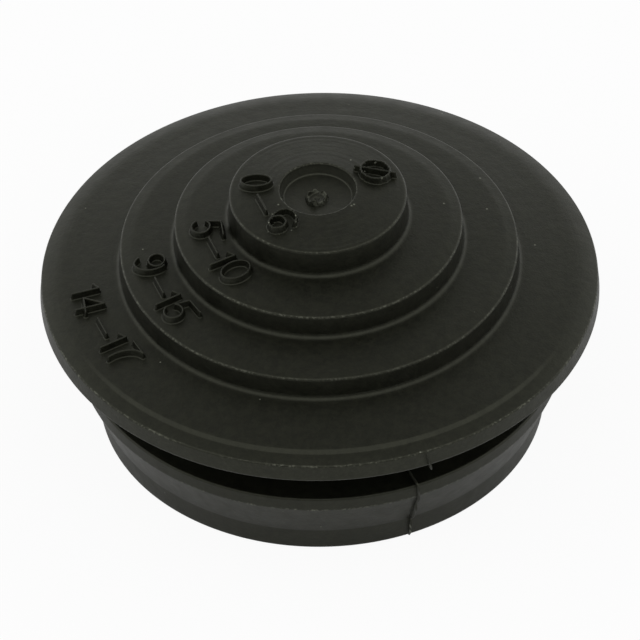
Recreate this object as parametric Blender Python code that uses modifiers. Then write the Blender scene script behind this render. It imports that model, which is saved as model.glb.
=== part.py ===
"""A stepped blind cable grommet: one turned moulding in black rubber.

The neck has a groove that grips the edge of a round panel hole, a barb below
the groove, and a flange above it. Three hollow steps rise from the flange to a
small disc with a thin membrane. The user pierces the membrane, or cuts off one
or more steps, to suit the cable. Everything is worked out as one section, from
the axis down the outside and back up the inside, and turned about Z.
"""
import bpy
from math import acos, atan2, cos, hypot, pi, radians, sin, sqrt, tan

# Driving dimensions in metres, and slopes in degrees

# Barb, from the bottom rim up
BOTTOM_DIAMETER = 0.02108
LEAD_IN_DIAMETER = 0.02138
LEAD_IN_HEIGHT = 0.00131
BARB_DIAMETER = 0.02300
BARB_CONE_HEIGHT = 0.00207
BARB_LAND_HEIGHT = 0.00070

# Groove that takes the panel
GROOVE_DIAMETER = 0.02020
GROOVE_WIDTH = 0.00267

# Flange
FLANGE_DIAMETER = 0.02624
RIM_THICKNESS = 0.00090
RIM_DRAFT = 0.00008
BEVEL_WIDTH = 0.00062
BEVEL_RISE = 0.00031

# Steps, the widest first
TOP_STEP_DIAMETER = 0.00826
TREAD_WIDTH = 0.00258
STEP_RISES = (0.00110, 0.00120, 0.00139)
TREAD_SLOPES = (8.4, 6.2, 5.8)
RISER_DRAFT = 2.0
TOP_SLOPE = 7.1

# Recess and membrane in the top disc
RECESS_DIAMETER = 0.00358
RECESS_DEPTH = 0.00052
RECESS_DRAFT = 8.0
MEMBRANE_THICKNESS = 0.00050

# Hollow underside
BORE_DIAMETER = 0.01750
STEP_WALL = 0.00200
TREAD_THICKNESS = 0.00110

# Rounded corners
STEP_EDGE_RADII = (0.00013, 0.00016, 0.00010)
EDGE_RADIUS = 0.00012
FOOT_FILLET = 0.00030
RIM_EDGE_RADIUS = 0.00025
BEVEL_BLEND_RADIUS = 0.00100
GROOVE_FILLET = 0.00025
BARB_EDGE_RADIUS = 0.00030
BOTTOM_EDGE_RADIUS = 0.00020
INNER_FILLET = 0.00030

# Faceting
SEGMENTS = 72
ARC_STEP = radians(45.0)
MERGE_DISTANCE = 0.00001


def barb_corners():
    """Corners of the outside from the bottom rim up to the groove's floor."""
    land = LEAD_IN_HEIGHT + BARB_CONE_HEIGHT
    shoulder = land + BARB_LAND_HEIGHT
    return [
        (BOTTOM_DIAMETER / 2, 0.0, BOTTOM_EDGE_RADIUS),
        (LEAD_IN_DIAMETER / 2, LEAD_IN_HEIGHT, BARB_EDGE_RADIUS),
        (BARB_DIAMETER / 2, land, BARB_EDGE_RADIUS),
        (BARB_DIAMETER / 2, shoulder, EDGE_RADIUS),
        (GROOVE_DIAMETER / 2, shoulder, GROOVE_FILLET),
        (GROOVE_DIAMETER / 2, shoulder + GROOVE_WIDTH, GROOVE_FILLET),
    ]


def flange_corners():
    """Corners of the flange's rim, from its underside up to the inner end of the bevel.
    The rim is widest at its underside, where the halves of the mould part."""
    rim = FLANGE_DIAMETER / 2
    underside = LEAD_IN_HEIGHT + BARB_CONE_HEIGHT + BARB_LAND_HEIGHT + GROOVE_WIDTH
    top_edge = underside + RIM_THICKNESS
    return [
        (rim, underside, EDGE_RADIUS),
        (rim - RIM_DRAFT, top_edge, RIM_EDGE_RADIUS),
        (rim - RIM_DRAFT - BEVEL_WIDTH, top_edge + BEVEL_RISE, BEVEL_BLEND_RADIUS),
    ]


def step_places():
    """For each step, the widest first: radius at its top edge, radius and height of
    its foot, and height of its top edge. Each tread climbs towards the axis, and
    each riser leans in by its draft."""
    edge_radius, edge_height, _ = flange_corners()[-1]
    count = len(STEP_RISES)
    places = []
    for index in range(count):
        radius = TOP_STEP_DIAMETER / 2 + TREAD_WIDTH * (count - 1 - index)
        foot_radius = radius + STEP_RISES[index] * tan(radians(RISER_DRAFT))
        climb = (edge_radius - foot_radius) * tan(radians(TREAD_SLOPES[index]))
        foot_height = edge_height + climb
        edge_radius, edge_height = radius, foot_height + STEP_RISES[index]
        places.append((radius, foot_radius, foot_height, edge_height))
    return places


def recess_corners():
    """Corners of the recess in the top disc, from its lip to the middle of its floor.
    The disc is a low cone like the treads, so the lip is the highest place of all."""
    disc_radius, _, _, disc_height = step_places()[-1]
    lip = RECESS_DIAMETER / 2
    top = disc_height + (disc_radius - lip) * tan(radians(TOP_SLOPE))
    floor = lip - RECESS_DEPTH * tan(radians(RECESS_DRAFT))
    return [
        (lip, top, EDGE_RADIUS),
        (floor, top - RECESS_DEPTH, FOOT_FILLET),
        (0.0, top - RECESS_DEPTH, 0.0),
    ]


def outside_corners():
    """The outside, from the bottom rim to the middle of the recess."""
    corners = barb_corners() + flange_corners()
    for place, edge_rounding in zip(step_places(), STEP_EDGE_RADII):
        radius, foot_radius, foot_height, edge_height = place
        corners.append((foot_radius, foot_height, FOOT_FILLET))
        corners.append((radius, edge_height, edge_rounding))
    return corners + recess_corners()


def inside_corners():
    """The hollow, from the bottom rim up to the underside of the membrane. Each
    ceiling lies one tread's thickness under the foot of the step above it."""
    radius = BORE_DIAMETER / 2
    corners = [(radius, 0.0, INNER_FILLET)]
    for step_radius, _, foot_height, _ in step_places():
        ceiling = foot_height - TREAD_THICKNESS
        corners.append((radius, ceiling, INNER_FILLET))
        radius = step_radius - STEP_WALL
        corners.append((radius, ceiling, 0.0))
    ceiling = recess_corners()[-1][1] - MEMBRANE_THICKNESS
    corners.append((radius, ceiling, INNER_FILLET))
    corners.append((0.0, ceiling, 0.0))
    return corners


def rounded(corners):
    """Replace each corner that has a radius by an arc tangent to both of its sides.

    The arc starts radius * tan(turn / 2) before the corner, where turn is the
    change of direction there, and never takes more than 0.45 of either side."""
    points = []
    for index, (x, z, radius) in enumerate(corners):
        if radius == 0.0 or index in (0, len(corners) - 1):
            points.append((x, z))
            continue
        before = (corners[index - 1][0] - x, corners[index - 1][1] - z)
        after = (corners[index + 1][0] - x, corners[index + 1][1] - z)
        side_before, side_after = hypot(*before), hypot(*after)
        before = (before[0] / side_before, before[1] / side_before)
        after = (after[0] / side_after, after[1] / side_after)
        turn = pi - acos(before[0] * after[0] + before[1] * after[1])
        reach = min(radius * tan(turn / 2), 0.45 * side_before, 0.45 * side_after)
        radius = reach / tan(turn / 2)
        # The arc's centre lies on the line that halves the corner
        middle = (before[0] + after[0], before[1] + after[1])
        scale = sqrt(reach ** 2 + radius ** 2) / hypot(*middle)
        centre = (x + middle[0] * scale, z + middle[1] * scale)
        start = (x + before[0] * reach - centre[0], z + before[1] * reach - centre[1])
        side = 1.0 if before[0] * after[1] - before[1] * after[0] < 0.0 else -1.0
        first = atan2(start[1], start[0])
        count = max(1, round(turn / ARC_STEP))
        for step in range(count + 1):
            angle = first + side * turn * step / count
            points.append((centre[0] + radius * cos(angle), centre[1] + radius * sin(angle)))
    return points


def section_points():
    """The whole section: from the axis on top, down the outside, and up the inside."""
    top_to_bottom = list(reversed(outside_corners()))
    return rounded(top_to_bottom + inside_corners())


def clear_scene():
    for old in list(bpy.data.objects):
        bpy.data.objects.remove(old, do_unlink=True)


def rubber_material():
    """Matt black rubber with a trace of olive."""
    material = bpy.data.materials.new("black_rubber")
    material.use_nodes = True
    shader = material.node_tree.nodes["Principled BSDF"]
    shader.inputs["Base Color"].default_value = (0.026, 0.026, 0.023, 1.0)
    shader.inputs["Roughness"].default_value = 0.55
    shader.inputs["Metallic"].default_value = 0.0
    return material


def turned_body(name, points):
    """A profile of edges at +X, turned about Z by a Screw modifier."""
    mesh = bpy.data.meshes.new(name)
    vertices = [(x, 0.0, z) for x, z in points]
    edges = [(index, index + 1) for index in range(len(points) - 1)]
    mesh.from_pydata(vertices, edges, [])
    body = bpy.data.objects.new(name, mesh)
    screw = body.modifiers.new("turn", "SCREW")
    screw.axis = "Z"
    screw.angle = 2 * pi
    screw.steps = SEGMENTS
    screw.render_steps = SEGMENTS
    screw.use_merge_vertices = True
    screw.merge_threshold = MERGE_DISTANCE
    screw.use_smooth_shade = True
    return body


def main():
    clear_scene()
    collection = bpy.data.collections.new("cable_grommet")
    bpy.context.scene.collection.children.link(collection)
    body = turned_body("grommet_body", section_points())
    body.data.materials.append(rubber_material())
    collection.objects.link(body)


main()
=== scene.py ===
# %% [markdown]
# # A stepped cable grommet
#
# The object is one moulding in black rubber, 26 mm across. It stands on the rim of its barb, above that is
# the groove that grips a panel, then the flange, and then three steps up to a small disc with a thin
# membrane. A solid with its main form is there already and stays as it is. This script gives it the surface
# of the real thing: every rounded edge, the raised numbers, the mark of the gate, the seam of the mould and
# the finish of the rubber. The first step loads the solid, because every size and place below refers to it.

# %% Load the solid
from math import radians

import bmesh
import bpy
import numpy as np
from mathutils import Matrix, Vector


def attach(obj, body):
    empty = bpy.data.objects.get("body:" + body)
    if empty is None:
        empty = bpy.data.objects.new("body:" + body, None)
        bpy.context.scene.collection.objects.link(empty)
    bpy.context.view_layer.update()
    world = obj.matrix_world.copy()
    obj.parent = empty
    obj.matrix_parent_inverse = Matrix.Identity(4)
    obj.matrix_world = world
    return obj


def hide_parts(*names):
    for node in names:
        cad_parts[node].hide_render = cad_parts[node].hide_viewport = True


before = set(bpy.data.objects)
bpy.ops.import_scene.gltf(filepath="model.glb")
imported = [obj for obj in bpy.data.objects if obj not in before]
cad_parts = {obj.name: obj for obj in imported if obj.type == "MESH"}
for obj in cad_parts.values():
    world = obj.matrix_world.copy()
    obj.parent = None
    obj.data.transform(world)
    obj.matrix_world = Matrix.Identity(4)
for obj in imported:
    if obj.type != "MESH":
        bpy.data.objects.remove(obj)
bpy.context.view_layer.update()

MM = 0.001

# %% [markdown]
# ## The section
#
# A moulding like this is turned in the mould maker's lathe, so one section holds its whole shape. It could
# be drawn point by point, but then no radius could be changed later. Instead the corners come from the sizes
# of the real object, and a formula rounds them. The sizes have the same names as in the solid. What is too
# fine for the solid is added here: a low ledge beside the rim, treads that bend down towards their edges, a
# dished floor of the recess, and small radii. The cones are a little flatter for it, so the step edges
# hardly move.

# %% Sizes of the barb, the groove and the flange
BOTTOM_DIAMETER = 21.08 * MM
LEAD_IN_DIAMETER = 21.38 * MM
LEAD_IN_HEIGHT = 1.31 * MM
BARB_DIAMETER = 23.00 * MM
BARB_CONE_HEIGHT = 2.07 * MM
BARB_LAND_HEIGHT = 0.70 * MM
GROOVE_DIAMETER = 20.20 * MM
GROOVE_WIDTH = 2.67 * MM
FLANGE_DIAMETER = 26.24 * MM
RIM_THICKNESS = 0.88 * MM
RIM_DRAFT = 0.08 * MM
BEVEL_WIDTH = 0.62 * MM
BEVEL_RISE = 0.31 * MM
LEDGE_WIDTH = 0.63 * MM
LEDGE_RISE = 0.18 * MM
LEDGE_STEP = 0.16 * MM

LAND_HEIGHT = LEAD_IN_HEIGHT + BARB_CONE_HEIGHT
SHOULDER_HEIGHT = LAND_HEIGHT + BARB_LAND_HEIGHT
RIM_UNDERSIDE = SHOULDER_HEIGHT + GROOVE_WIDTH
RIM_TOP = RIM_UNDERSIDE + RIM_THICKNESS
RIM_TOP_RADIUS = FLANGE_DIAMETER / 2 - RIM_DRAFT
BEVEL_INNER = RIM_TOP_RADIUS - BEVEL_WIDTH
print("height of the rim in mm, underside and top:", round(RIM_UNDERSIDE / MM, 3), round(RIM_TOP / MM, 3))

# %% Sizes of the steps, the widest first
TOP_STEP_DIAMETER = 8.26 * MM
TREAD_WIDTH = 2.58 * MM
STEP_RISES = np.array([1.13, 1.17, 1.39]) * MM
CROWN_WIDTH = 0.60 * MM
TREAD_CROWNS = np.array([0.08, 0.08]) * MM
TREAD_SLOPES = np.radians([8.5, 5.2, 4.8])
RISER_DRAFT = radians(2.0)
TOP_SLOPE = radians(7.1)

# Each tread climbs towards the axis, and each riser leans in by its draft
EDGE_RADII = TOP_STEP_DIAMETER / 2 + TREAD_WIDTH * np.array([2, 1, 0])
FOOT_RADII = EDGE_RADII + STEP_RISES * np.tan(RISER_DRAFT)
TREAD_STARTS = np.array([BEVEL_INNER, *EDGE_RADII[:-1]])
CLIMBS = (TREAD_STARTS - FOOT_RADII) * np.tan(TREAD_SLOPES)
CONE_STARTS = np.cumsum([0, *TREAD_CROWNS])
EDGE_HEIGHTS = RIM_TOP + BEVEL_RISE + CONE_STARTS + np.cumsum(CLIMBS + STEP_RISES)
FOOT_HEIGHTS = EDGE_HEIGHTS - STEP_RISES
print("heights of the step edges in mm:", np.round(EDGE_HEIGHTS / MM, 3))

# %% Sizes of the recess and the hollow
RECESS_DIAMETER = 3.58 * MM
RECESS_DEPTH = 0.52 * MM
RECESS_DRAFT = radians(20.0)
FLOOR_DISH = 0.07 * MM
DISH_START = 0.60 * MM
MEMBRANE_THICKNESS = 0.50 * MM
BORE_DIAMETER = 17.50 * MM
STEP_WALL = 2.00 * MM
TREAD_THICKNESS = 1.10 * MM

LIP_RADIUS = RECESS_DIAMETER / 2
TOP = EDGE_HEIGHTS[-1] + (EDGE_RADII[-1] - LIP_RADIUS) * np.tan(TOP_SLOPE)
RECESS_FLOOR = TOP - RECESS_DEPTH - FLOOR_DISH
print("height of the lip of the recess in mm:", round(TOP / MM, 3))

# %% Corners of the outside
DISH_RADIUS = 8.00 * MM
LIP_ROUNDING = 0.08 * MM
RECESS_FILLET = 0.10 * MM
STEP_EDGE_RADII = np.array([0.14, 0.14, 0.14]) * MM
CROWN_RADIUS = 2.00 * MM
FOOT_FILLET = 0.25 * MM
LEDGE_RADIUS = 0.15 * MM
RIM_EDGE_RADIUS = 0.12 * MM
EDGE_RADIUS = 0.12 * MM
GROOVE_FILLET = 0.25 * MM
BARB_EDGE_RADIUS = 0.30 * MM
BOTTOM_EDGE_RADIUS = 0.20 * MM


def outside_corners():
    """Radius, height and rounding of each corner, from the middle of the recess down to the bottom rim."""
    recess = [(0, RECESS_FLOOR, 0),
              (DISH_START, RECESS_FLOOR, DISH_RADIUS),
              (LIP_RADIUS - RECESS_DEPTH * np.tan(RECESS_DRAFT), RECESS_FLOOR + FLOOR_DISH, RECESS_FILLET),
              (LIP_RADIUS, TOP, LIP_ROUNDING)]
    steps = []
    for step in (2, 1, 0):
        if step < 2:
            cone = EDGE_HEIGHTS[step] + TREAD_CROWNS[step] + CROWN_WIDTH * np.tan(TREAD_SLOPES[step + 1])
            steps += [(EDGE_RADII[step] - CROWN_WIDTH, cone, CROWN_RADIUS)]
        steps += [(EDGE_RADII[step], EDGE_HEIGHTS[step], STEP_EDGE_RADII[step]),
                  (FOOT_RADII[step], FOOT_HEIGHTS[step], FOOT_FILLET)]
    ledge_inner = RIM_TOP_RADIUS - LEDGE_WIDTH
    ledge_top = ledge_inner - LEDGE_STEP
    cone = RIM_TOP + BEVEL_RISE + (BEVEL_INNER - ledge_top) * np.tan(TREAD_SLOPES[0])
    flange = [(ledge_top, cone, LEDGE_RADIUS),
              (ledge_inner, RIM_TOP + LEDGE_RISE, LEDGE_RADIUS),
              (RIM_TOP_RADIUS, RIM_TOP, RIM_EDGE_RADIUS),
              (FLANGE_DIAMETER / 2, RIM_UNDERSIDE, EDGE_RADIUS)]
    barb = [(GROOVE_DIAMETER / 2, RIM_UNDERSIDE, GROOVE_FILLET),
            (GROOVE_DIAMETER / 2, SHOULDER_HEIGHT, GROOVE_FILLET),
            (BARB_DIAMETER / 2, SHOULDER_HEIGHT, EDGE_RADIUS),
            (BARB_DIAMETER / 2, LAND_HEIGHT, BARB_EDGE_RADIUS),
            (LEAD_IN_DIAMETER / 2, LEAD_IN_HEIGHT, BARB_EDGE_RADIUS),
            (BOTTOM_DIAMETER / 2, 0, BOTTOM_EDGE_RADIUS)]
    return recess + steps + flange + barb


print("corners of the outside:", len(outside_corners()))

# %% Corners of the hollow
INNER_FILLET = 0.30 * MM


def inside_corners():
    """The hollow, from the bottom rim up to the underside of the membrane. Each ceiling lies one tread's
    thickness under the foot of the step above it."""
    radius = BORE_DIAMETER / 2
    corners = [(radius, 0, INNER_FILLET)]
    for edge, foot_height in zip(EDGE_RADII, FOOT_HEIGHTS):
        ceiling = foot_height - TREAD_THICKNESS
        corners.append((radius, ceiling, INNER_FILLET))
        radius = edge - STEP_WALL
        corners.append((radius, ceiling, EDGE_RADIUS))
    ceiling = TOP - RECESS_DEPTH - MEMBRANE_THICKNESS
    return corners + [(radius, ceiling, INNER_FILLET), (0, ceiling, 0)]


CORNERS = np.array(outside_corners() + inside_corners(), float)
print("corners of the section:", len(CORNERS))

# %% [markdown]
# ## Rounding the corners
#
# Moulded rubber has no sharp edge, and a thin bright line along each edge is what shows it. Blender's Bevel
# could round the turned mesh, with one width for many edges. Here each corner has its own radius, so the
# arcs are worked out in the section, all at once. Two more points stand close to both ends of every straight
# stretch, so that smooth shading bends only in the arcs and the treads stay true cones. Beside the rim,
# where the ledge runs out into a soft bevel, the section needs more points.

# %% Round a section
LONGEST_REACH = 0.45     # share of a side that an arc may take
SAME_POINT = 1e-8        # points nearer than this are one point


def unit(vectors):
    """Each vector, divided by its length."""
    return vectors / np.linalg.norm(vectors, axis=-1, keepdims=True)


def rounded(corners, arc_points):
    """Each corner becomes an arc tangent to both of its sides. The arc starts radius * tan(turn / 2) from
    the corner, where turn is the change of direction, and its centre lies on the line that halves the corner.
    A point of the arc is centre + radius * (cos a, sin a), with a running evenly from side to side."""
    here = corners[1:-1, :2]
    before = corners[:-2, :2] - here
    after = corners[2:, :2] - here
    sides = np.minimum(np.linalg.norm(before, axis=1), np.linalg.norm(after, axis=1))
    before, after = unit(before), unit(after)
    half_turn = (np.pi - np.arccos(np.sum(before * after, axis=1))) / 2
    reach = np.minimum(corners[1:-1, 2] * np.tan(half_turn), LONGEST_REACH * sides)
    radius = reach / np.tan(half_turn)
    centre = here + unit(before + after) * np.hypot(reach, radius)[:, None]
    start = here + before * reach[:, None] - centre
    first = np.arctan2(start[:, 1], start[:, 0])
    side = np.where(before[:, 0] * after[:, 1] - before[:, 1] * after[:, 0] < 0, 1, -1)
    angle = first[:, None] + (side * 2 * half_turn)[:, None] * np.linspace(0, 1, arc_points)
    arcs = centre[:, None] + radius[:, None, None] * np.stack([np.cos(angle), np.sin(angle)], axis=-1)
    points = np.vstack([corners[:1, :2], arcs.reshape(-1, 2), corners[-1:, :2]])
    moved = np.linalg.norm(np.diff(points, axis=0), axis=1) > SAME_POINT
    return points[np.concatenate([[True], moved])]


# %% Add points to a section
ARC_POINTS = 7
RIM_POINTS = 12
GUARD = 0.04             # share of a straight stretch between its end and its guard point
GUARDED_STRETCH = 0.15 * MM


def guarded(points, shortest):
    """Adds a point near both ends of each stretch that is longer than shortest."""
    step = np.diff(points, axis=0)
    long = np.linalg.norm(step, axis=1) > shortest
    near_start, near_end = points[:-1] + GUARD * step, points[1:] - GUARD * step
    grouped = np.stack([points[:-1], near_start, near_end], axis=1)
    keep = np.stack([np.ones(len(long), bool), long, long], axis=1)
    return np.vstack([grouped[keep], points[-1:]])


def with_more_points(section, radii):
    """Adds the points of the upper side at these radii. The radius grows all the way along the upper side."""
    widest = np.argmax(section[:, 0])
    upper = section[:widest + 1]
    more = np.stack([radii, np.interp(radii, upper[:, 0], upper[:, 1])], axis=1)
    upper = np.vstack([upper, more])
    return np.vstack([upper[np.argsort(upper[:, 0], kind="stable")], section[widest + 1:]])


SECTION = guarded(rounded(CORNERS, ARC_POINTS), GUARDED_STRETCH)
rim_radii = np.linspace(BEVEL_INNER - LEDGE_WIDTH, RIM_TOP_RADIUS - LEDGE_RADIUS, RIM_POINTS)
SECTION = with_more_points(SECTION, rim_radii)
print("points of the section:", len(SECTION))

# %% [markdown]
# ## From a grid of points to a mesh
#
# Every new piece below is a surface over a grid: a point for each pair of two parameters, such as the place
# along the section and the angle round the axis. One function joins neighbours into quads, also across the
# two ends where the surface closes on itself, and merges the points that meet at a pole. Several grids may
# make one object, as the strokes of a number do.

# %% Grid to mesh
MERGE_DISTANCE = 1e-7


def grid_faces(shape, closed, first):
    """Quads (i, j), (i, j+1), (i+1, j+1), (i+1, j), counted from the vertex number first."""
    rows, columns = shape
    i, j = np.meshgrid(np.arange(rows - 1 + closed[0]), np.arange(columns - 1 + closed[1]), indexing="ij")
    right, down = (j + 1) % columns, (i + 1) % rows
    corners = [i * columns + j, i * columns + right, down * columns + right, down * columns + j]
    return first + np.stack(corners, axis=-1).reshape(-1, 4)


def piece_from_grids(name, grids):
    """One object from (points, closed) pairs. Closed says whether each parameter runs round."""
    points = np.vstack([grid.reshape(-1, 3) for grid, _ in grids])
    starts = np.cumsum([0] + [grid.shape[0] * grid.shape[1] for grid, _ in grids])
    faces = np.vstack([grid_faces(grid.shape[:2], closed, first)
                       for (grid, closed), first in zip(grids, starts)])
    mesh = bpy.data.meshes.new(name)
    mesh.from_pydata(points, [], faces)
    work = bmesh.new()
    work.from_mesh(mesh)
    bmesh.ops.remove_doubles(work, verts=work.verts, dist=MERGE_DISTANCE)
    bmesh.ops.recalc_face_normals(work, faces=work.faces)
    volume = work.calc_volume(signed=True) / MM ** 3
    work.to_mesh(mesh)
    work.free()
    mesh.shade_smooth()
    piece = bpy.data.objects.new(name, mesh)
    bpy.context.scene.collection.objects.link(piece)
    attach(piece, "root")
    triangles = len(mesh.loops) - 2 * len(mesh.polygons)
    print(f"{name}: {triangles} triangles, volume {volume:.3f} mm3")
    return piece


# %% [markdown]
# ## The moulded body
#
# The section turned about the axis is the whole body, outside and hollow in one skin. A Screw modifier would
# do the same, but the grid is plain to read: x = r cos a, y = r sin a, z = z. Only the ledge beside the rim
# isn't the same all round, it runs out towards the back. The new skin takes the place of the faceted solid,
# so the script prints how far the solid's own vertices lie from the new section.

# %% Turn the body
TURN_STEPS = 360
LEDGE_FRONT = -0.80      # sine of the angle up to which the ledge is whole
LEDGE_BACK = -0.40       # and from which it is gone
BEVEL_START = BEVEL_INNER - 0.5 * MM


def turned(section, steps):
    """x = r cos a, y = r sin a, z = z, for each point (r, z) of the section and each of the angles a."""
    angle = np.linspace(0, 2 * np.pi, steps, endpoint=False)[:, None]
    radius, height = section[None, :, 0], section[None, :, 1]
    return np.stack([radius * np.cos(angle), radius * np.sin(angle), height + 0 * angle], axis=-1)


def beside_rim(radius, height):
    """True on the upper side of the flange, from the inner end of the ledge out to the rim."""
    return (radius > BEVEL_INNER - LEDGE_WIDTH) & (height > RIM_TOP - SAME_POINT)


def ledge_faded(points):
    """The ledge beside the rim is there in front only. Towards the back each point beside the rim moves to a
    soft bevel: the cone of the tread, less a drop that grows with the square of the distance from
    BEVEL_START. The share s of that move follows s * s * (3 - 2 s), so that it starts and ends softly."""
    radius = np.maximum(np.hypot(points[..., 0], points[..., 1]), SAME_POINT)
    cone = RIM_TOP + BEVEL_RISE + (BEVEL_INNER - radius) * np.tan(TREAD_SLOPES[0])
    cone_at_rim = BEVEL_RISE - BEVEL_WIDTH * np.tan(TREAD_SLOPES[0])
    outwards = np.clip((radius - BEVEL_START) / (RIM_TOP_RADIUS - BEVEL_START), 0, 1)
    bevel = cone - cone_at_rim * outwards ** 2
    share = np.clip((points[..., 1] / radius - LEDGE_FRONT) / (LEDGE_BACK - LEDGE_FRONT), 0, 1)
    smooth = beside_rim(radius, points[..., 2]) * share ** 2 * (3 - 2 * share)
    points[..., 2] += smooth * (bevel - points[..., 2])
    return points


body = piece_from_grids("moulded_body", [(ledge_faded(turned(SECTION, TURN_STEPS)), (True, False))])
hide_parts("grommet_body")

# %% Compare the new skin with the solid
solid_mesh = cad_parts["grommet_body"].data
solid = np.empty(3 * len(solid_mesh.vertices))
solid_mesh.vertices.foreach_get("co", solid)
solid = solid.reshape(-1, 3)
places = np.stack([np.hypot(solid[:, 0], solid[:, 1]), solid[:, 2]], axis=1)
places = np.unique(np.round(places, decimals=7), axis=0)
start, stretch = SECTION[:-1], np.diff(SECTION, axis=0)
along = np.sum((places[:, None] - start) * stretch, axis=2) / np.sum(stretch ** 2, axis=1)
nearest = start + np.clip(along, 0, 1)[..., None] * stretch
distance = np.linalg.norm(places[:, None] - nearest, axis=2).min(axis=1)
print(f"largest distance from a vertex of the solid to the new section: {distance.max() / MM:.4f} mm")

# %% [markdown]
# ## The raised numbers
#
# Each tread says which cable fits the hole that is left when the step above it is cut off. The numbers stand
# up as thin walls, because they were engraved in the mould with a small cutter. Blender's Text object could
# give the outline of a font, but these have one stroke of even width with round ends. So each stroke is a
# path, and its wall is a set of outlines: the outline at distance d from the path lies at height h above
# the tread, and d and h run up the wall from a flared foot to a round top.

# %% Paths of the strokes
PATH_STEP = 0.05 * MM
DIGIT_HEIGHT = 1.40 * MM
CIRCLE = 360


def line(x0, y0, x1, y1):
    """At least 3 points evenly along a straight stroke, in digit heights. It is never a ring."""
    count = max(3, round(np.hypot(x1 - x0, y1 - y0) * DIGIT_HEIGHT / PATH_STEP))
    share = np.linspace(0, 1, count)[:, None]
    return np.array([x0, y0]) * (1 - share) + np.array([x1, y1]) * share, False


def bow(x, y, across, up, start, end):
    """At least 6 points (x + across * cos a, y + up * sin a) of an ellipse, in digit heights, between two
    angles in degrees. The second result says whether the stroke is a whole ring."""
    ring = abs(end - start) == CIRCLE
    length = (across + up) / 2 * radians(abs(end - start)) * DIGIT_HEIGHT
    angle = np.radians(np.linspace(start, end, max(6, round(length / PATH_STEP)), endpoint=not ring))
    return np.stack([x + across * np.cos(angle), y + up * np.sin(angle)], axis=1), ring


# %% Profile of a wall
WALL_HEIGHT = 0.33 * MM
BASE_HALF_WIDTH = 0.09 * MM
TOP_HALF_WIDTH = 0.045 * MM
FLARE = 0.045 * MM
FLARE_ANGLES = np.radians(np.linspace(0, 80, 5))
TOP_ANGLES = np.radians(np.linspace(0, 90, 6))
SINK = 0.03 * MM         # how deep a piece stands in the surface under it
GUARDED_FLANK = 0.08 * MM


def wall_profile():
    """Half of a wall's section as distance from the path and height over the tread, from the buried foot up:
    a quarter circle flares the foot, a straight flank leans in, and a quarter circle rounds the top."""
    distance = [[0, BASE_HALF_WIDTH + FLARE],
                BASE_HALF_WIDTH + FLARE * (1 - np.sin(FLARE_ANGLES)),
                TOP_HALF_WIDTH * np.cos(TOP_ANGLES)]
    height = [[-SINK, -SINK],
              FLARE * (1 - np.cos(FLARE_ANGLES)),
              WALL_HEIGHT - TOP_HALF_WIDTH * (1 - np.sin(TOP_ANGLES))]
    profile = np.stack([np.concatenate(distance), np.concatenate(height)], axis=1)
    return guarded(profile, GUARDED_FLANK)


print("points of half a wall's section:", len(wall_profile()))

# %% Walls along the paths
CAP_POINTS = 9
RIB_RISE = 0.3           # how far a rib moves up, as a share of how far it moves sideways
CHANCE = np.random.default_rng(5)


def tread_height(radius):
    """Height of the outer surface at a distance from the axis. It never overhangs above the rim."""
    corners = np.array(outside_corners())[:, :2]
    above = corners[corners[:, 1] >= RIM_TOP]
    order = np.argsort(above[:, 0])
    return np.interp(radius, above[order, 0], above[order, 1])


def wall(path, ring, lowered, ragged):
    """Point (s, k) of a wall is path(s) + d(k) * normal(s), at the tread's height there plus h(k). An open
    path is followed out on one side and back on the other, with the normal turning round at both ends. A
    ragged wall has ribs: above its foot, each s moves by its own random share of ragged, sideways and a
    little up."""
    profile = wall_profile()
    profile[:, 1] = np.where(profile[:, 1] > 0, profile[:, 1] * lowered, profile[:, 1])
    steps = np.roll(path, -1, axis=0) - np.roll(path, 1, axis=0) if ring else np.gradient(path, axis=0)
    along = unit(steps)
    normal = np.stack([along[:, 1], -along[:, 0]], axis=1)
    if ring:
        profile = np.vstack([profile, profile[-2:0:-1] * [-1, 1]])
    else:
        turn = np.linspace(0, np.pi, CAP_POINTS + 2)[1:-1, None]
        end_cap = normal[-1] * np.cos(turn) + along[-1] * np.sin(turn)
        start_cap = -normal[0] * np.cos(turn) - along[0] * np.sin(turn)
        path = np.vstack([path, np.repeat(path[-1:], CAP_POINTS, axis=0),
                          path[::-1], np.repeat(path[:1], CAP_POINTS, axis=0)])
        normal = np.vstack([normal, end_cap, -normal[::-1], start_cap])
    rib = CHANCE.uniform(-ragged, ragged, (len(path), 1)) * (profile[None, :, 1] > 0)
    flat = path[:, None] + (profile[None, :, :1] + rib[..., None]) * normal[:, None]
    height = tread_height(np.linalg.norm(flat, axis=2)) + profile[None, :, 1] + RIB_RISE * rib
    return np.dstack([flat, height]), (True, ring)


# %% [markdown]
# ## Shapes of the digits
#
# A digit is drawn one unit high about its middle, with straight strokes and arcs. On the real mould the rows
# follow the rings of the treads, so every digit has its own place and lean. The rows face away from the
# middle at 200 degrees round the axis, and places are in millimetres across and up the row. The 6 and the
# sign for diameter were cut badly: their walls are ribbed and torn.

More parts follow.
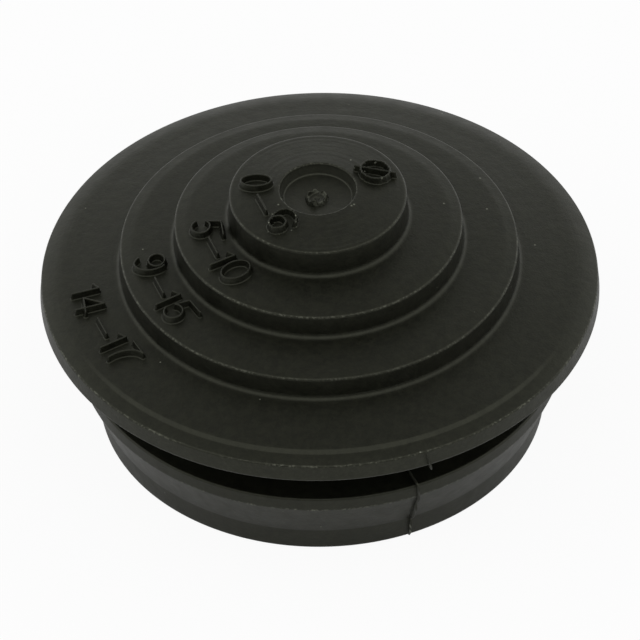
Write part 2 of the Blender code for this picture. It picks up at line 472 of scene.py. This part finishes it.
# %% Digits
DIGITS = {
    "0": [bow(0.00, 0.00, 0.32, 0.51, 0, CIRCLE)],
    "1": [line(0.00, -0.46, 0.00, 0.42), line(0.00, 0.42, -0.25, 0.28)],
    "4": [line(0.14, -0.48, 0.14, 0.45), line(0.14, 0.45, -0.34, -0.16), line(-0.34, -0.16, 0.34, -0.20)],
    "5": [line(-0.20, 0.50, 0.45, 0.50), line(-0.20, 0.50, -0.33, 0.02),
          bow(-0.10, -0.19, 0.31, 0.31, 138, -155)],
    "6": [bow(0.00, -0.22, 0.28, 0.27, 0, CIRCLE), bow(0.09, 0.03, 0.40, 0.41, 215, 10)],
    "7": [line(-0.33, 0.50, 0.33, 0.50), bow(0.50, -0.35, 0.72, 0.88, 104, 190)],
    "9": [bow(-0.02, 0.25, 0.29, 0.27, 0, CIRCLE), bow(0.02, 0.05, 0.39, 0.55, 50, -135)],
    "-": [line(-0.41, 0.00, 0.41, 0.00)],
    "diameter": [bow(0.00, 0.00, 0.48, 0.48, 0, CIRCLE), line(-0.33, -0.57, 0.33, 0.57)],
}
print("strokes of each digit:", {digit: len(strokes) for digit, strokes in DIGITS.items()})

# %% Place a digit
ROW_FACES = radians(200)
ROW_UP = -np.array([np.cos(ROW_FACES), np.sin(ROW_FACES)])
ROW_RIGHT = np.array([ROW_UP[1], -ROW_UP[0]])
LOWER = 0.985            # height of each stroke, as a share of the stroke before: no two tops coincide


def digit_walls(digit, across, up, lean, width=1.0, ragged=0.0):
    """The walls of one digit, with its middle at (across, up) mm on the row and its top leaning right. The
    numbers ragged and width are the depth of a rough wall's ribs in mm and a factor on the digit's width."""
    lean = radians(lean)
    right = ROW_RIGHT * np.cos(lean) - ROW_UP * np.sin(lean)
    upward = ROW_UP * np.cos(lean) + ROW_RIGHT * np.sin(lean)
    middle = ROW_RIGHT * across * MM + ROW_UP * up * MM
    walls = []
    for index, (path, ring) in enumerate(DIGITS[digit]):
        placed = middle + DIGIT_HEIGHT * (width * path[:, :1] * right + path[:, 1:] * upward)
        walls.append(wall(placed, ring, LOWER ** index, ragged * MM))
    return walls


# %% Rows of numbers
RAGGED = 0.025
ROWS = {
    "size_numbers_0_6": [("0", -1.45, -2.51, 30, 0.9), ("-", 0.09, -2.79, 0),
                         ("6", 1.44, -2.34, -31, 1.0, RAGGED)],
    "size_numbers_5_10": [("5", -0.94, -5.17, 13), ("-", 0.31, -5.31, 0), ("1", 1.41, -5.22, -5),
                          ("0", 2.25, -4.92, -9, 1.15)],
    "size_numbers_9_15": [("9", -1.28, -7.94, 14), ("-", 0.41, -8.05, 0), ("1", 1.47, -7.98, -7),
                          ("5", 2.38, -7.75, -10)],
    "size_numbers_14_17": [("1", -2.12, -10.82, 11), ("4", -1.22, -10.94, 10), ("-", 0.42, -10.92, -1),
                           ("1", 1.67, -10.78, -3), ("7", 2.64, -10.58, -8)],
    "diameter_sign": [("diameter", -0.13, 2.90, 0, 1.0, RAGGED)],
}
numbers = []
for name, digits in ROWS.items():
    walls = [grid for digit in digits for grid in digit_walls(*digit)]
    numbers.append(piece_from_grids(name, walls))

# %% [markdown]
# ## The mark of the gate
#
# The rubber entered the mould through a small hole over the middle of the membrane. Where it was torn off, a
# ragged ring with a pit in it is left on the floor of the recess. It could be a bump in the finish, but it
# stands up by a fifth of a millimetre and hides a part of the floor. So it is a surface over radius and
# angle, and a sum of waves makes it uneven.

# %% Gate mark
GATE_RADIUS = 0.54 * MM
GATE_PLACE = np.array([-0.06, -0.08]) * MM
GATE_FOOT = 0.07 * MM
GATE_FOOT_POWER = 16     # the higher, the flatter the foot and the steeper its edge
GATE_RIDGE = 0.15 * MM
GATE_RIDGE_RADIUS = 0.43 * MM
GATE_RIDGE_WIDTH = 0.06 * MM
GATE_PIT = 0.12 * MM
GATE_PIT_RADIUS = 0.13 * MM
RIDGE_WAVES = [(0.5, 3, 1), (0.4, 7, 2)]
OUTLINE_WAVES = [(0.05, 2, 0), (0.04, 5, 0)]


def uneven(along, waves):
    """1 plus the sum of size * sin(count * along + start), for each (size, count, start) of the waves."""
    result = 1
    for size, count, start in waves:
        result = result + size * np.sin(count * along + start)
    return result


def gate_surface(radius_steps, angle_steps):
    """Height over the recess floor is a low foot, plus a ridge of uneven height, minus a pit. The foot is
    1 - (r / radius) ^ power, and ridge and pit are bells exp(-((r - place) / width) ^ 2). The outer ring and
    the last point are under the floor."""
    distance = np.linspace(0, GATE_RADIUS, radius_steps)[:, None]
    angle = np.linspace(0, 2 * np.pi, angle_steps, endpoint=False)[None]
    foot = GATE_FOOT * (1 - (distance / GATE_RADIUS) ** GATE_FOOT_POWER)
    bell = np.exp(-((distance - GATE_RIDGE_RADIUS) / GATE_RIDGE_WIDTH) ** 2)
    ridge = GATE_RIDGE * uneven(angle, RIDGE_WAVES) * bell
    pit = GATE_PIT * np.exp(-(distance / GATE_PIT_RADIUS) ** 2)
    wide = distance * uneven(angle, OUTLINE_WAVES)
    x = GATE_PLACE[0] + wide * np.cos(angle)
    y = GATE_PLACE[1] + wide * np.sin(angle)
    top = np.stack([x, y, RECESS_FLOOR + (foot + ridge - pit)], axis=-1)
    buried = top[-1:] - [0, 0, 2 * SINK]
    return np.concatenate([top, buried, 0 * buried + [*GATE_PLACE, RECESS_FLOOR - 2 * SINK]])


gate = piece_from_grids("gate_mark", [(gate_surface(radius_steps=28, angle_steps=96), (False, True))])

# %% [markdown]
# ## The flash of the parting line
#
# The groove and the barb can't leave a mould in one piece, so two halves close round the neck. Rubber creeps
# into the gap between them and leaves a thin fin that follows the section. Its curve in the photograph is
# the section itself, seen from the side. The path below is that part of the section, and the fin stands on
# it. On the floor of the groove it is almost flush.

# %% Path of the flash
FLASH_STEP = 0.05 * MM


def outside_below_rim():
    """Points every FLASH_STEP along the outer section, from the rim's top edge down to the bottom rim."""
    first = np.argmax(SECTION[:, 0])
    last = np.argmax(SECTION[:, 1] <= 0)
    part = SECTION[first - ARC_POINTS:last]
    length = np.concatenate([[0], np.cumsum(np.linalg.norm(np.diff(part, axis=0), axis=1))])
    even = np.linspace(0, length[-1], round(length[-1] / FLASH_STEP))
    return np.stack([np.interp(even, length, part[:, 0]), np.interp(even, length, part[:, 1])], axis=1)


print("points along the flash:", len(outside_below_rim()))

# %% Parting flash
FLASH_AZIMUTH = radians(-68.0)
FLASH_HALF_WIDTH = 0.05 * MM
FLASH_HEIGHT = 0.22 * MM
FIN_ACROSS = np.array([-1.6, -1.0, -0.2, 0.2, 1.0, 1.6])     # section of the fin, in half widths
FIN_OUT = np.array([-0.4, 0.0, 1.0, 1.0, 0.0, -0.4])         # and in heights
FIN_WAVES = [(0.20, 41, 0), (0.15, 97, 1)]
THINNEST = 0.3           # share of its width that the fin keeps where it has no height
END_TAPER = 20           # the fin grows from nothing within one part in 20 of its length
FLUSH_RADIUS = 10.4 * MM     # nearer to the axis than this is the floor of the groove
FLUSH_SHARE = 0.2            # share of its height that the fin keeps there
DRIFT_HEIGHTS = [0, LEAD_IN_HEIGHT, LAND_HEIGHT, SHOULDER_HEIGHT, RIM_UNDERSIDE, RIM_TOP]
DRIFTS = np.array([-0.06, -0.03, 0.03, -0.03, -0.04, -0.25]) * MM


def flash_fin(azimuth):
    """Point (s, k) is path(s) + across(k) * sideways + out(k) * normal(s), with a closed section in k. The
    fin's height changes irregularly along s and falls to nothing at both ends. The fin drifts sideways with
    the height over the bottom rim."""
    path = outside_below_rim()
    along = unit(np.gradient(path, axis=0))
    normal = np.stack([-along[:, 1], along[:, 0]], axis=1)
    share = np.linspace(0, 1, len(path))
    taper = np.minimum(1, END_TAPER * np.minimum(share, 1 - share))
    size = FLASH_HEIGHT * uneven(share, FIN_WAVES)
    size *= taper * np.where(path[:, 0] < FLUSH_RADIUS, FLUSH_SHARE, 1)
    drift = np.interp(path[:, 1], DRIFT_HEIGHTS, DRIFTS)
    spread = path[:, None] + (size[:, None] * FIN_OUT)[..., None] * normal[:, None]
    width = THINNEST + (1 - THINNEST) * size[:, None] / FLASH_HEIGHT
    beside = drift[:, None] + FLASH_HALF_WIDTH * FIN_ACROSS * width
    x = spread[..., 0] * np.cos(azimuth) - beside * np.sin(azimuth)
    y = spread[..., 0] * np.sin(azimuth) + beside * np.cos(azimuth)
    fin = np.stack([x, y, spread[..., 1]], axis=-1)
    ends = fin.mean(axis=1, keepdims=True) + 0 * fin
    return np.concatenate([ends[:1], fin, ends[-1:]])


flash = piece_from_grids("parting_flash", [(flash_fin(FLASH_AZIMUTH), (False, True)),
                                           (flash_fin(FLASH_AZIMUTH + np.pi), (False, True))])

# %% [markdown]
# ## Shader maths as Python expressions
#
# A finish is a sum of patterns, and a node tree drawn by hand soon hides that sum. Here a small class wraps
# the output of a node, so that `1 - mask` or `mask * grain` adds the Math nodes by itself. Every other node
# comes from one function, which takes the node's type, its settings and the values or links of its sockets.

# %% Sockets that can be added and multiplied
class Wire:
    """The output of a node. An expression on it adds the Math nodes that work the expression out."""

    def __init__(self, tree, socket):
        self.tree = tree
        self.socket = socket

    def math(self, operation, *values):
        return add_node(self.tree, "ShaderNodeMath", {"operation": operation}, dict(enumerate(values)))

    def __add__(self, other):
        return self.math("ADD", self, other)

    def __radd__(self, other):
        return self.math("ADD", other, self)

    def __sub__(self, other):
        return self.math("SUBTRACT", self, other)

    def __rsub__(self, other):
        return self.math("SUBTRACT", other, self)

    def __mul__(self, other):
        return self.math("MULTIPLY", self, other)

    def __rmul__(self, other):
        return self.math("MULTIPLY", other, self)

    def limited(self, low, high):
        """The value, kept between low and high."""
        return self.math("MINIMUM", self.math("MAXIMUM", self, low), high)

    def ramp(self, low, high):
        """0 below low, 1 above high, and a smooth change between them."""
        settings = {"interpolation_type": "SMOOTHSTEP"}
        inputs = {"Value": self, "From Min": low, "From Max": high}
        return add_node(self.tree, "ShaderNodeMapRange", settings, inputs)

    def window(self, low, low_full, high_full, high):
        """0 below low, 1 from low_full to high_full, 0 above high, and smooth changes between them."""
        return self.ramp(low, low_full) - self.ramp(high_full, high)


def add_node(tree, kind, settings=None, inputs=None, output=0):
    """Adds a node, gives it its settings first and then the values or links of its sockets."""
    node = tree.nodes.new(kind)
    for name, value in (settings or {}).items():
        setattr(node, name, value)
    for name, value in (inputs or {}).items():
        if isinstance(value, Wire):
            tree.links.new(value.socket, node.inputs[name])
        else:
            node.inputs[name].default_value = value
    return Wire(tree, node.outputs[output])


# %% [markdown]
# ## The camera
#
# The photograph is taken from about 42 degrees above the table with a long lens, so the circles of the
# object stay almost true ellipses. A long lens is a narrow angle from far away: here 394 mm on a 36 mm
# sensor, a third of a metre away. The small roll levels nothing, it repeats the tilt of the camera.

# %% Camera of the photograph
camera = bpy.data.objects.new("camera", bpy.data.cameras.new("camera"))
bpy.context.scene.collection.objects.link(camera)
bpy.context.scene.camera = camera
camera.data.sensor_width = 36.0
camera.data.lens = 393.75
camera.data.clip_start = 0.01
CAMERA_PLACE = Vector((0, -242.94, 227.74)) * MM
CAMERA_AIM = Vector((0, 0, 4.73)) * MM
CAMERA_ROLL = radians(-1.183)
PIXEL = 1 / 640
camera.data.shift_x = -0.52 * PIXEL
camera.data.shift_y = -0.08 * PIXEL
sight = CAMERA_AIM - CAMERA_PLACE
view = sight.to_track_quat("-Z", "Y").to_matrix().to_4x4()
camera.matrix_world = Matrix.Translation(CAMERA_PLACE) @ view @ Matrix.Rotation(CAMERA_ROLL, 4, "Z")
print(f"camera: {sight.length:.3f} m away, {np.degrees(np.arcsin(-sight.z / sight.length)):.1f} degrees up")

# %% [markdown]
# ## The light tent
#
# Small black products are photographed in a tent of white cloth, because rubber shows nothing but what it
# reflects. Area lamps could stand for the cloth, but their edges would show in the rubber. So the world
# itself is the tent, and its light depends on the direction only. It is brightest half way up, in front and
# at the sides, about 1 low at the back, a half or less overhead and high at the back, and black low in
# front, where the camera looks in. The average over the upper half is a little under 1, so that colours
# keep about the brightness they are written with.

# %% Light by direction
WHITE = (1, 1, 1, 1)
MOST_LIGHT = 9.0         # a bound that the sum never reaches


def tent_light(up, back):
    """Strength of the light from a direction: a sum of products of up, which is the height of the direction
    from 0 to 1, and back, which is 1 straight to the back and -1 straight to the front."""
    return 0.45 + 3.12 * up - 3.05 * up * up + 1.10 * back - 2.47 * up * back - 0.57 * back * back


world = bpy.data.worlds.new("light_tent")
world.use_nodes = True
bpy.context.scene.world = world
tent = world.node_tree
background = tent.nodes["Background"]
split = add_node(tent, "ShaderNodeSeparateXYZ", inputs={0: add_node(tent, "ShaderNodeTexCoord")})
back = Wire(tent, split.socket.node.outputs["Y"])
up = Wire(tent, split.socket.node.outputs["Z"]).limited(0, 1)
tent.links.new(tent_light(up, back).limited(0, MOST_LIGHT).socket, background.inputs["Strength"])
background.inputs["Color"].default_value = WHITE

# %% Average of the light
AVERAGE_STEPS = 60

# Equal steps in height and in angle cut the upper half of the sky into equal areas
heights = (np.arange(AVERAGE_STEPS) + 0.5) / AVERAGE_STEPS
angles = np.linspace(0, 2 * np.pi, AVERAGE_STEPS, endpoint=False)[:, None]
strengths = np.clip(tent_light(heights, np.sqrt(1 - heights ** 2) * np.sin(angles)), 0, MOST_LIGHT)
print(f"light of the tent, average over the upper half: {strengths.mean():.2f}, most: {strengths.max():.2f}")

# %% [markdown]
# ## The white floor
#
# In the photograph the ground is pure white and almost without a shadow. More light would burn out the
# rubber, so the paper is simply seen as white: for rays of the camera it glows at strength 1, with a small
# share of matt paper left in, which keeps a faint shadow. Reflections in the rubber see a darker paper. The
# sheet has one side only, so that a view from below looks into the hollow, and it lies a hair under the
# bottom rim.

# %% Floor
FLOOR_REACH = 2.0        # from the middle to each side, in metres
FLOOR_GAP = 0.01 * MM
reach = FLOOR_REACH * np.array([-1, 1])
floor_points = np.stack([*np.meshgrid(reach, reach, indexing="ij"), np.full((2, 2), -FLOOR_GAP)], axis=-1)
floor_mesh = bpy.data.meshes.new("floor")
floor_mesh.from_pydata(floor_points.reshape(-1, 3), [], [(0, 2, 3, 1)])
floor = bpy.data.objects.new("floor", floor_mesh)
bpy.context.scene.collection.objects.link(floor)
print(f"floor: {2 * FLOOR_REACH:.0f} m wide, its normal is {tuple(floor_mesh.polygons[0].normal)}")

# %% White paper that keeps a faint shadow
PAPER = (0.85, 0.85, 0.85, 1)
SHADOW_SHARE = 0.07
GLOSSY_SHARE = 0.15
paper = bpy.data.materials.new("white_paper")
paper.use_nodes = True
sheet = paper.node_tree
sheet.nodes.clear()
rays = add_node(sheet, "ShaderNodeLightPath").socket.node.outputs
seen_by_camera = (1 - SHADOW_SHARE) * Wire(sheet, rays["Is Camera Ray"])
seen = seen_by_camera + GLOSSY_SHARE * Wire(sheet, rays["Is Glossy Ray"])
matt = add_node(sheet, "ShaderNodeBsdfDiffuse", inputs={"Color": PAPER})
white = add_node(sheet, "ShaderNodeEmission", inputs={"Color": WHITE, "Strength": 1.0})
mixed = add_node(sheet, "ShaderNodeMixShader", inputs={0: seen.limited(0, 1), 1: matt, 2: white})
from_below = add_node(sheet, "ShaderNodeNewGeometry", output="Backfacing")
clear = add_node(sheet, "ShaderNodeBsdfTransparent")
one_sided = add_node(sheet, "ShaderNodeMixShader", inputs={0: from_below, 1: mixed, 2: clear})
paper_output = sheet.nodes.new("ShaderNodeOutputMaterial")
sheet.links.new(one_sided.socket, paper_output.inputs["Surface"])
floor_mesh.materials.append(paper)
print("nodes in the paper:", len(sheet.nodes))

# %% [markdown]
# ## Patterns on the rubber
#
# The rubber is black, but it is not clean and not even. Painted images would fit one view and one size. Here
# each pattern is worked out from the place on the object: soft spots from a noise, bands from a noise of the
# radius alone, a spot round one point from the distance to it, and specks of dust and painted glints from the
# cells of a Voronoi pattern, where a few cells hold a speck at their middle.

# %% Places on the rubber
rubber = bpy.data.materials.new("black_rubber_finish")
rubber.use_nodes = True
tree = rubber.node_tree
shader = tree.nodes["Principled BSDF"]
place = add_node(tree, "ShaderNodeTexCoord", output="Object")
flat_place = add_node(tree, "ShaderNodeVectorMath", {"operation": "MULTIPLY"}, {0: place, 1: (1, 1, 0)})
radius = add_node(tree, "ShaderNodeVectorMath", {"operation": "LENGTH"}, {0: flat_place}, output="Value")
height = add_node(tree, "ShaderNodeSeparateXYZ", inputs={0: place}, output="Z")
on_section = add_node(tree, "ShaderNodeCombineXYZ", inputs={0: radius, 1: height})

# %% Patterns
NOISE_SPREAD = 4         # stretches a noise about 0.5, so that it runs from about -1 to 1
SPECK_CORE = 0.3         # share of a speck's radius within which it is full
CHANCE_EDGE = 0.001


def clouds(size, detail=2.0):
    """Soft spots of about the given size, from about -1 to 1."""
    inputs = {"Vector": place, "Scale": 1 / size, "Detail": detail}
    return NOISE_SPREAD * add_node(tree, "ShaderNodeTexNoise", inputs=inputs) - NOISE_SPREAD / 2


def bands(width):
    """Bands round the axis of about the given width, from about -1 to 1."""
    settings = {"noise_dimensions": "1D"}
    inputs = {"W": radius, "Scale": 1 / width, "Detail": 1.0}
    return NOISE_SPREAD * add_node(tree, "ShaderNodeTexNoise", settings, inputs) - NOISE_SPREAD / 2


def near(point, size, at):
    """1 at a point and 0 from the given distance on."""
    inputs = {0: at, 1: tuple(float(value) for value in point)}
    distance = add_node(tree, "ShaderNodeVectorMath", {"operation": "DISTANCE"}, inputs, output="Value")
    return 1 - distance.ramp(0, size)


def specks(spacing, size, share):
    """1 in round specks. Space is split into cells about spacing wide, and share of them hold a speck."""
    cells = add_node(tree, "ShaderNodeTexVoronoi", inputs={"Vector": place, "Scale": 1 / spacing})
    colour = Wire(tree, cells.socket.node.outputs["Color"])
    chance = add_node(tree, "ShaderNodeSeparateColor", inputs={0: colour})
    speck = 1 - cells.ramp(SPECK_CORE * size / spacing, size / spacing)
    return speck * chance.ramp(1 - share, 1 - share + CHANCE_EDGE)


# %% [markdown]
# ## Wear, dust and painted glints
#
# The edges are rubbed, and a dotted painted highlight along them adds the glints of the edges. Dust sticks
# to all of the rubber. An edge could be found by the Pointiness of the mesh, but that depends on how fine
# the mesh is. Here it is a corner of the section, so the distance to it is known everywhere. Where the walls
# of the numbers are torn, light specks are painted glints of their burrs, a few painted glints lie on the
# disc and the treads, and three more stand at the foot of the flash in front.

# %% Rubbed edges, lightened as wear and as a painted dotted highlight
WEAR_AND_GLINT_WIDTH = 0.10 * MM
WORN_AND_GLINTING_CORNERS = [(RIM_TOP_RADIUS, RIM_TOP), (FLANGE_DIAMETER / 2, RIM_UNDERSIDE), (LIP_RADIUS, TOP),
                *zip(EDGE_RADII, EDGE_HEIGHTS), (BARB_DIAMETER / 2, LAND_HEIGHT)]
edges = sum(near((*corner, 0), WEAR_AND_GLINT_WIDTH, on_section) for corner in WORN_AND_GLINTING_CORNERS)
patches = clouds(1.6 * MM).ramp(-1.0, 0.6)
worn_and_glinting = edges * patches * clouds(0.12 * MM).ramp(-0.2, 0.8)
print("rubbed edges:", len(WORN_AND_GLINTING_CORNERS))

# %% Dust, and painted glints on the burrs, the disc and the treads
TORN_PLACES = [(-0.13, 2.90), (1.44, -2.34)]     # the sign for diameter and the 6, in mm on the row
TORN_RADIUS = 1.1 * MM
GLINT_SPOTS = np.array([(1.54, -1.21), (1.66, -1.12), (0.60, -1.61), (1.56, 2.08), (-1.84, -1.01), (-2.12, -1.59),
                   (-1.45, -1.43), (7.90, 2.02), (10.12, 1.03), (5.86, 0.84), (7.65, 4.29)]) * MM
GLINT_SPOT_RADIUS = 0.07 * MM
torn = 0
for across, up in TORN_PLACES:
    middle = (ROW_RIGHT * across + ROW_UP * up) * MM
    torn = torn + near((*middle, 0), TORN_RADIUS, flat_place).ramp(0.05, 0.2)
# the first specks are dust; the second, round the torn walls, are painted glints of their burrs
dust_and_glints = specks(0.9 * MM, 0.05 * MM, share=0.30) + torn * specks(0.25 * MM, 0.06 * MM, share=0.40)
# each of these spots is a painted glint on the disc or a tread
for glint_spot in GLINT_SPOTS:
    dust_and_glints = dust_and_glints + near((*glint_spot, 0), GLINT_SPOT_RADIUS, flat_place)
print("painted_glint_spots:", len(GLINT_SPOTS))

# %% Painted glints at the foot of the flash
GLINT_HEIGHTS = np.array([0.10, 0.45, 0.80]) * MM
GLINT_RADIUS = 0.16 * MM
GLINT_STRENGTH = 1.5
flash_foot = (BOTTOM_DIAMETER / 2 + FLASH_HEIGHT) * np.array([np.cos(FLASH_AZIMUTH), np.sin(FLASH_AZIMUTH)])
for low in GLINT_HEIGHTS:
    dust_and_glints = dust_and_glints + GLINT_STRENGTH * near((*flash_foot, low), GLINT_RADIUS, place)
print("foot of the flash in mm:", np.round(flash_foot / MM, 2))

# %% [markdown]
# ## The finish of the rubber
#
# Black rubber is never one black: three noises from a tenth to half a millimetre mottle it. The groove and
# the recess are lightened with painted light that lifts their shade, and a painted highlight brightens the
# ridge round the mark of the gate. A thin film of dust makes the cone of the barb and the rim blotchy. The
# gloss changes slowly over the surface. The relief holds the same noises, because the mould's surface is
# dull, and the bands that its turning has left, which are clearest on the disc. One image for each could be
# painted, but they would have to agree, and sums of patterns do by themselves.

# %% Noises
grain = clouds(0.10 * MM, detail=1.0)
spots = clouds(0.25 * MM)
smudge = clouds(0.45 * MM)
mottle = (0.5 + 0.4 * grain + 0.5 * spots + 0.5 * smudge).limited(0, 1)

# %% Where dust lies and where light is painted
on_rim = height.window(RIM_UNDERSIDE, RIM_UNDERSIDE + 0.1 * MM, RIM_TOP, RIM_TOP + 0.1 * MM)
on_cone = height.window(1.0 * MM, 1.4 * MM, 3.2 * MM, 3.5 * MM) * radius.ramp(10.4 * MM, 10.6 * MM)
blotches = (on_cone + on_rim) * clouds(0.17 * MM).ramp(-0.2, 1.2)
# painted light: the groove, the recess and its wall are lightened where they lie in shade
in_groove = height.window(SHOULDER_HEIGHT, SHOULDER_HEIGHT + 0.2 * MM,
                          RIM_UNDERSIDE - 0.2 * MM, RIM_UNDERSIDE)
over_floor = height.ramp(RECESS_FLOOR - 0.1 * MM, RECESS_FLOOR)
in_recess = (1 - radius.ramp(LIP_RADIUS - 0.08 * MM, LIP_RADIUS)) * over_floor
on_recess_wall = in_recess * radius.ramp(LIP_RADIUS - 0.25 * MM, LIP_RADIUS - 0.2 * MM)
near_gate = near((*GATE_PLACE, 0), 2 * GATE_RIDGE_RADIUS, flat_place)
# a painted highlight: broken bright arcs on the ridge round the mark of the gate
gate_rim_highlight = in_recess * clouds(0.2 * MM).ramp(-0.4, 0.6) * near_gate.window(0.3, 0.4, 0.6, 0.7)

# %% How much of each place takes the light colour: dust, wear, painted light and painted highlights
# on the edges the light colour is rubbed wear and a painted dotted highlight
RUBBED_AND_GLINT_SHARE = 0.75
BLOTCH_SHARE = 0.045
GROOVE_LIGHT_SHARE = 0.18
RECESS_LIGHT_SHARE = 0.02
RECESS_WALL_LIGHT_SHARE = 0.05
GATE_HIGHLIGHT_SHARE = 0.30
# painted light that lifts the shade of the groove and the recess, and the painted highlight round the gate
painted_light_in_hollows = (GROOVE_LIGHT_SHARE * in_groove + RECESS_LIGHT_SHARE * in_recess + RECESS_WALL_LIGHT_SHARE * on_recess_wall
           + GATE_HIGHLIGHT_SHARE * gate_rim_highlight)
dust_and_painted_light = (RUBBED_AND_GLINT_SHARE * worn_and_glinting + BLOTCH_SHARE * blotches + painted_light_in_hollows + dust_and_glints).limited(0, 1)
print("nodes in the patterns:", len(tree.nodes))

# %% Colour of the rubber
RUBBER_LEVEL = 0.0046
RUBBER_TINT = np.array([1.00, 1.05, 0.65])
MOTTLING = 0.5
DARK_RUBBER = (*(RUBBER_LEVEL * (1 - MOTTLING) * RUBBER_TINT), 1)
LIGHT_RUBBER = (*(RUBBER_LEVEL * (1 + MOTTLING) * RUBBER_TINT), 1)
# one light colour for the dust and the wear, and for the painted light and the painted glints
DUST_AND_LIGHT_COLOUR = (0.16, 0.165, 0.13, 1)
MIX_SHARE, MIX_FIRST, MIX_SECOND, MIX_RESULT = 0, 6, 7, 2    # sockets of a Mix node for colours


def mixed_colour(share, first, second):
    """The first colour where the share is 0, and the second where it is 1."""
    inputs = {MIX_SHARE: share, MIX_FIRST: first, MIX_SECOND: second}
    return add_node(tree, "ShaderNodeMix", {"data_type": "RGBA"}, inputs, output=MIX_RESULT)


clean_rubber = mixed_colour(mottle, DARK_RUBBER, LIGHT_RUBBER)
tree.links.new(mixed_colour(dust_and_painted_light, clean_rubber, DUST_AND_LIGHT_COLOUR).socket, shader.inputs["Base Color"])
print("colours of clean rubber:", np.round(DARK_RUBBER, 4), np.round(LIGHT_RUBBER, 4))

# %% Gloss
ROUGHNESS = 0.43
ROUGHNESS_SPREAD = 0.04
SPECULAR_LEVEL = 0.39
SPECULAR_TINT = (0.97, 1.00, 0.78, 1)
roughness = (ROUGHNESS + ROUGHNESS_SPREAD * clouds(0.7 * MM)).limited(0.2, 0.9)
tree.links.new(roughness.socket, shader.inputs["Roughness"])
shader.inputs["Specular IOR Level"].default_value = SPECULAR_LEVEL
shader.inputs["Specular Tint"].default_value = SPECULAR_TINT

# %% Relief
GRAIN_DEPTH = 0.0012         # depths are in millimetres, and the last factor makes metres of them
RIM_GRAIN_DEPTH = 0.001
SPOT_DEPTH = 0.0012
SMUDGE_DEPTH = 0.0028
TURNING_DEPTH = 0.004
on_disc = height.ramp(EDGE_HEIGHTS[-1] - 0.2 * MM, EDGE_HEIGHTS[-1])
turning = bands(0.34 * MM) * (0.3 + 0.9 * on_disc) * clouds(2.5 * MM).ramp(-0.8, 0.6)
relief = ((GRAIN_DEPTH + RIM_GRAIN_DEPTH * on_rim) * grain + SPOT_DEPTH * spots
          + SMUDGE_DEPTH * smudge + TURNING_DEPTH * turning) * MM
bump = add_node(tree, "ShaderNodeBump", inputs={"Strength": 1.0, "Distance": 1.0, "Height": relief})
tree.links.new(bump.socket, shader.inputs["Normal"])
for piece in [body, gate, flash, *numbers]:
    piece.data.materials.append(rubber)
print("nodes in the finish of the rubber:", len(tree.nodes))

bpy.context.scene.view_settings.view_transform = "Standard"
